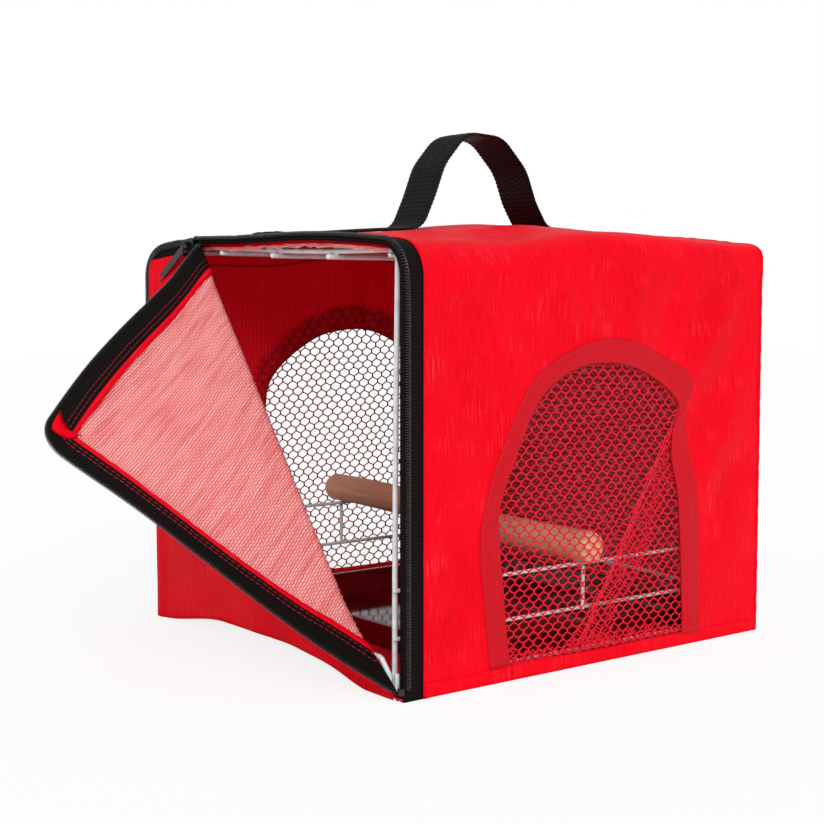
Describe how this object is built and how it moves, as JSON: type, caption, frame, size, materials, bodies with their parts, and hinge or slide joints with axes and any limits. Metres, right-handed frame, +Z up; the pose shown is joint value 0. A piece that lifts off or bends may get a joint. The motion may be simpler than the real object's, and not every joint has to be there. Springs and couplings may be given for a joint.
{
  "type": "bird travel carrier",
  "caption": "Soft-sided travel carrier for a small bird: red fabric cover over a wire cage, mesh side windows, zipped front folded half open, perch, tray and top handle.",
  "frame": {"origin": "centre of the carrier's footprint, on the ground, under the middle of the cover's floor", "axes": "+X to the carrier's right side window, +Y from the door to the back panel, +Z up"},
  "size_m": [0.284, 0.454, 0.3335],
  "materials": {
    "cover_cloth": "coated woven nylon, satin sheen",
    "binding": "woven binding tape",
    "window_mesh": "open hexagon knitted mesh",
    "zipper_tape": "woven zip tape",
    "zipper_coil": "nylon coil, gloss",
    "zipper_metal": "black enamel, gloss",
    "webbing": "woven polypropylene webbing",
    "wire": "white powder coat",
    "perch_wood": "plain turned dowel, unvarnished",
    "tray_plastic": "gloss"
  },
  "bodies": {
    "carrier": {"cover_back": "cover_cloth", "cover_floor": "cover_cloth", "cover_roof": "cover_cloth", "cover_side_left": "cover_cloth", "cover_side_right": "cover_cloth", "door_panel_fixed": "cover_cloth", "door_tape_fixed": "zipper_tape", "frame_bottom_wire_left": "wire", "frame_bottom_wire_right": "wire", "frame_rail_lower_left": "wire", "frame_rail_lower_right": "wire", "frame_rail_post_left": "wire", "frame_rail_post_right": "wire", "frame_rail_upper_left": "wire", "frame_rail_upper_right": "wire", "frame_sill_back": "wire", "frame_sill_front": "wire", "frame_upright_back_left": "wire", "frame_upright_back_right": "wire", "frame_upright_front_left": "wire", "frame_upright_front_right": "wire", "handle_strap_back": "webbing", "handle_strap_front": "webbing", "roof_cross_wire_back": "wire", "roof_cross_wire_front": "wire", "roof_long_wire_1": "wire", "roof_long_wire_2": "wire", "roof_long_wire_3": "wire", "roof_long_wire_4": "wire", "roof_long_wire_5": "wire", "window_binding_left": "binding", "window_binding_right": "binding", "window_mesh_left": "window_mesh", "window_mesh_right": "window_mesh", "zipper_chain_closed": "zipper_coil", "zipper_coil_body": "zipper_coil", "zipper_end_stops": "zipper_coil", "zipper_tape_body": "zipper_tape"},
    "door_flap": {"door_panel_folded": "cover_cloth", "door_tape_folded": "zipper_tape", "zipper_coil_flap": "zipper_coil"},
    "zipper_slider": {"zipper_slider": "zipper_metal"},
    "pull_tab": {"zipper_pull_tab": "zipper_metal"},
    "handle": {"handle_loop": "webbing"},
    "perch": {"perch": "perch_wood"},
    "tray": {"tray": "tray_plastic"}
  },
  "joints": [
    {"name": "door_flap_fold", "type": "hinge", "parent": "carrier", "child": "door_flap", "pos_m": [-0.08, -0.1511, 0.26147], "axis": [0.6464, 0, -0.763], "range_deg": [-85, 85]},
    {"name": "zipper_slide", "type": "slide", "parent": "carrier", "child": "zipper_slider", "axis": [-0.9938, 0, -0.111], "range_m": [0, 0.022], "deforming": ["zipper_chain_closed"]},
    {"name": "pull_tab_swing", "type": "hinge", "parent": "zipper_slider", "child": "pull_tab", "pos_m": [-0.08957, -0.1548, 0.25626], "axis": [-0.515, 0, 0.8572], "range_deg": [0, 150]},
    {"name": "handle_swing", "type": "hinge", "parent": "carrier", "child": "handle", "pos_m": [0, 0.0135, 0.28522], "axis": [0, 1, 0], "range_deg": [-58, 58]},
    {"name": "perch_lift", "type": "slide", "parent": "carrier", "child": "perch", "axis": [0, 0, 1], "range_m": [0, 0.14]},
    {"name": "tray_slide", "type": "slide", "parent": "carrier", "child": "tray", "axis": [0, -1, 0], "range_m": [0, 0.05]}
  ]
}
